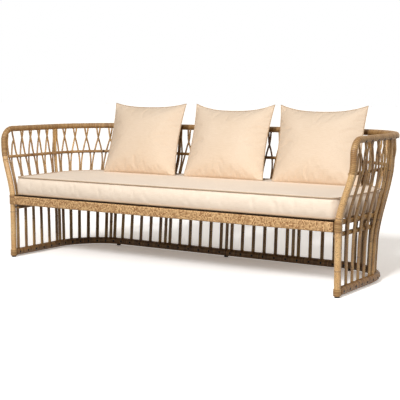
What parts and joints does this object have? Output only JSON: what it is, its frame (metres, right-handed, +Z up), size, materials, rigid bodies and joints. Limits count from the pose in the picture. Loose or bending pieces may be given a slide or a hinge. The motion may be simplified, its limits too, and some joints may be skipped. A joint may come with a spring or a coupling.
{
  "type": "rattan garden sofa",
  "caption": "Cane-cage garden sofa with a flared, rounded back and arms, a slatted seat, a boxed seat cushion and loose scatter pillows.",
  "frame": {"origin": "on the floor, under the centre of the sofa's box", "axes": "+X to the right-hand side seen from the front, +Y to the back, +Z up"},
  "size_m": [2.161, 0.8198, 0.8502],
  "materials": {
    "peeled_cane": "peeled cane, satin varnish",
    "wrap": "split cane wound in a close spiral, satin",
    "base_wrap": "dark split cane wound in a close spiral, satin",
    "weave": "speckled weave of split cane, satin",
    "frame_cane": "smoked round cane, satin varnish",
    "glide": "moulded, matt",
    "seat_cloth": "plain woven outdoor canvas",
    "pillow_cloth": "plain woven outdoor canvas"
  },
  "bodies": {
    "frame": {"left_front_post": "peeled_cane", "right_front_post": "peeled_cane", "left_arm_rail": "wrap", "right_arm_rail": "wrap", "left_top_corner_rail": "wrap", "right_top_corner_rail": "wrap", "left_base_rail": "base_wrap", "right_base_rail": "base_wrap", "left_base_corner_rail": "base_wrap", "right_base_corner_rail": "base_wrap", "back_top_rail": "wrap", "back_base_rail": "base_wrap", "centre_strut": "frame_cane", "left_strut_1": "frame_cane", "left_strut_2": "frame_cane", "left_strut_3": "frame_cane", "right_strut_1": "frame_cane", "right_strut_2": "frame_cane", "right_strut_3": "frame_cane", "left_back_inner_canes": "frame_cane", "left_back_outer_canes": "frame_cane", "left_corner_canes": "frame_cane", "left_arm_canes": "frame_cane", "right_back_inner_canes": "frame_cane", "right_back_outer_canes": "frame_cane", "right_corner_canes": "frame_cane", "right_arm_canes": "frame_cane", "left_mid_rail": "frame_cane", "right_mid_rail": "frame_cane", "back_mid_rail": "frame_cane", "left_seat_rail": "frame_cane", "right_seat_rail": "frame_cane", "back_seat_rail": "frame_cane", "left_lower_rail": "frame_cane", "right_lower_rail": "frame_cane", "back_lower_rail": "frame_cane", "seat_apron": "weave", "seat_bearer_1": "frame_cane", "seat_bearer_2": "frame_cane", "seat_bearer_3": "frame_cane", "seat_bearer_4": "frame_cane", "seat_bearer_5": "frame_cane", "seat_slat_1": "frame_cane", "seat_slat_2": "frame_cane", "seat_slat_3": "frame_cane", "seat_slat_4": "frame_cane", "seat_slat_5": "frame_cane", "left_apron_binding": "weave", "right_apron_binding": "weave", "left_foot_binding": "wrap", "right_foot_binding": "wrap", "left_front_glide": "glide", "right_front_glide": "glide", "left_rear_glide": "glide", "right_rear_glide": "glide", "centre_rear_glide": "glide"},
    "seat_cushion": {"seat_cushion": "seat_cloth"},
    "pillow_left": {"pillow_left": "pillow_cloth"},
    "pillow_middle": {"pillow_middle": "pillow_cloth"},
    "pillow_right": {"pillow_right": "pillow_cloth"}
  },
  "joints": [
    {"name": "seat_cushion_lift", "type": "slide", "parent": "frame", "child": "seat_cushion", "axis": [0, 0, 1], "range_m": [0, 0.4]},
    {"name": "pillow_left_lift", "type": "slide", "parent": "seat_cushion", "child": "pillow_left", "axis": [0, 0, 1], "range_m": [0, 0.3]},
    {"name": "pillow_middle_lift", "type": "slide", "parent": "seat_cushion", "child": "pillow_middle", "axis": [0, 0, 1], "range_m": [0, 0.3]},
    {"name": "pillow_right_lift", "type": "slide", "parent": "seat_cushion", "child": "pillow_right", "axis": [0, 0, 1], "range_m": [0, 0.3]}
  ]
}
